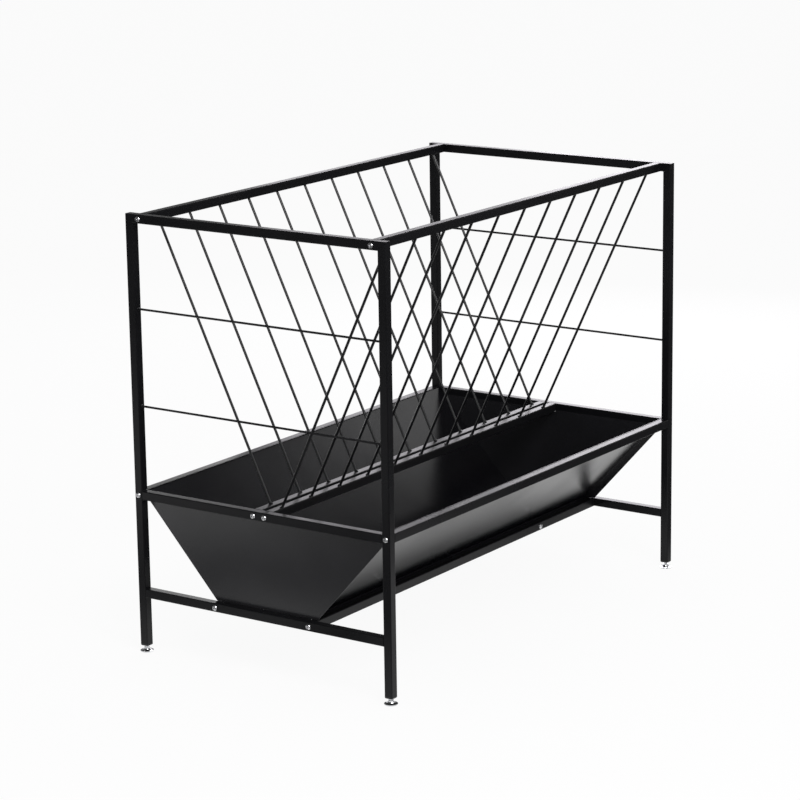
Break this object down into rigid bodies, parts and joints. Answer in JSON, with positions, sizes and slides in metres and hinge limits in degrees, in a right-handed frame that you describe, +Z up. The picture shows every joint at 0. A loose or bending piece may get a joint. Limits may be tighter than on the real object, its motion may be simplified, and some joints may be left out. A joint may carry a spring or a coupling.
{
  "type": "livestock feeder",
  "caption": "Free-standing feeder of black square tube with a V-shaped wire hay rack over a sheet-metal trough, on screw-in levelling feet.",
  "frame": {"origin": "on the floor, below the middle of the feeder", "axes": "+X along the feeder's length from the near end to the far end, +Y across it from the front to the back, +Z up"},
  "size_m": [1.21, 0.7, 1],
  "materials": {
    "frame": "satin black powder coat on square steel tube",
    "wire": "satin black powder coat on round steel wire",
    "trough": "smooth black powder coat on folded steel sheet",
    "bolt": "bright zinc plate",
    "chrome": "bright chrome plate",
    "plug": "moulded black plastic"
  },
  "bodies": {
    "feeder": {"near_front_post": "frame", "near_back_post": "frame", "near_top_rail": "frame", "near_mid_rail": "frame", "near_low_rail": "frame", "near_lower_rod": "wire", "near_upper_rod": "wire", "far_front_post": "frame", "far_back_post": "frame", "far_top_rail": "frame", "far_mid_rail": "frame", "far_low_rail": "frame", "far_lower_rod": "wire", "far_upper_rod": "wire", "front_rack_rail": "frame", "front_mid_rail": "frame", "front_bottom_rail": "frame", "front_rack_grille": "wire", "front_trough_panel": "trough", "back_rack_rail": "frame", "back_mid_rail": "frame", "back_bottom_rail": "frame", "back_rack_grille": "wire", "back_trough_panel": "trough", "trough_tray": "trough", "trough_near_end_panel": "trough", "trough_far_end_panel": "trough", "near_front_rack_rail_bolt": "bolt", "near_back_rack_rail_bolt": "bolt", "far_front_rack_rail_bolt": "bolt", "far_back_rack_rail_bolt": "bolt", "near_front_rack_bar_bolt": "bolt", "near_back_rack_bar_bolt": "bolt", "far_front_rack_bar_bolt": "bolt", "far_back_rack_bar_bolt": "bolt", "near_front_mid_rail_bolt": "bolt", "near_back_mid_rail_bolt": "bolt", "far_front_mid_rail_bolt": "bolt", "far_back_mid_rail_bolt": "bolt", "near_front_bottom_rail_bolt": "bolt", "near_back_bottom_rail_bolt": "bolt", "far_front_bottom_rail_bolt": "bolt", "far_back_bottom_rail_bolt": "bolt", "near_front_tray_bolt": "bolt", "near_back_tray_bolt": "bolt", "far_front_tray_bolt": "bolt", "far_back_tray_bolt": "bolt", "near_front_plug": "plug", "near_back_plug": "plug", "far_front_plug": "plug", "far_back_plug": "plug"},
    "near_front_foot_base": {"near_front_foot_pad": "chrome"},
    "near_front_foot_screw": {"near_front_foot_stud": "chrome"},
    "near_back_foot_base": {"near_back_foot_pad": "chrome"},
    "near_back_foot_screw": {"near_back_foot_stud": "chrome"},
    "far_front_foot_base": {"far_front_foot_pad": "chrome"},
    "far_front_foot_screw": {"far_front_foot_stud": "chrome"},
    "far_back_foot_base": {"far_back_foot_pad": "chrome"},
    "far_back_foot_screw": {"far_back_foot_stud": "chrome"}
  },
  "joints": [
    {"name": "near_front_foot_height", "type": "slide", "parent": "feeder", "child": "near_front_foot_base", "axis": [0, 0, -1], "range_m": [-0.0035, 0.015]},
    {"name": "near_front_foot_turn", "type": "hinge", "parent": "near_front_foot_base", "child": "near_front_foot_screw", "pos_m": [-0.59, -0.335, 0.02], "axis": [0, 0, -1], "range_deg": [-1010, 4325]},
    {"name": "near_back_foot_height", "type": "slide", "parent": "feeder", "child": "near_back_foot_base", "axis": [0, 0, -1], "range_m": [-0.0035, 0.015]},
    {"name": "near_back_foot_turn", "type": "hinge", "parent": "near_back_foot_base", "child": "near_back_foot_screw", "pos_m": [-0.59, 0.335, 0.02], "axis": [0, 0, -1], "range_deg": [-1010, 4325]},
    {"name": "far_front_foot_height", "type": "slide", "parent": "feeder", "child": "far_front_foot_base", "axis": [0, 0, -1], "range_m": [-0.0035, 0.015]},
    {"name": "far_front_foot_turn", "type": "hinge", "parent": "far_front_foot_base", "child": "far_front_foot_screw", "pos_m": [0.59, -0.335, 0.02], "axis": [0, 0, -1], "range_deg": [-1010, 4325]},
    {"name": "far_back_foot_height", "type": "slide", "parent": "feeder", "child": "far_back_foot_base", "axis": [0, 0, -1], "range_m": [-0.0035, 0.015]},
    {"name": "far_back_foot_turn", "type": "hinge", "parent": "far_back_foot_base", "child": "far_back_foot_screw", "pos_m": [0.59, 0.335, 0.02], "axis": [0, 0, -1], "range_deg": [-1010, 4325]}
  ],
  "couplings": [
    {"joint": "near_front_foot_turn", "follows": "near_front_foot_height", "rad_per_m": 5026.5},
    {"joint": "near_back_foot_turn", "follows": "near_back_foot_height", "rad_per_m": 5026.5},
    {"joint": "far_front_foot_turn", "follows": "far_front_foot_height", "rad_per_m": 5026.5},
    {"joint": "far_back_foot_turn", "follows": "far_back_foot_height", "rad_per_m": 5026.5}
  ]
}
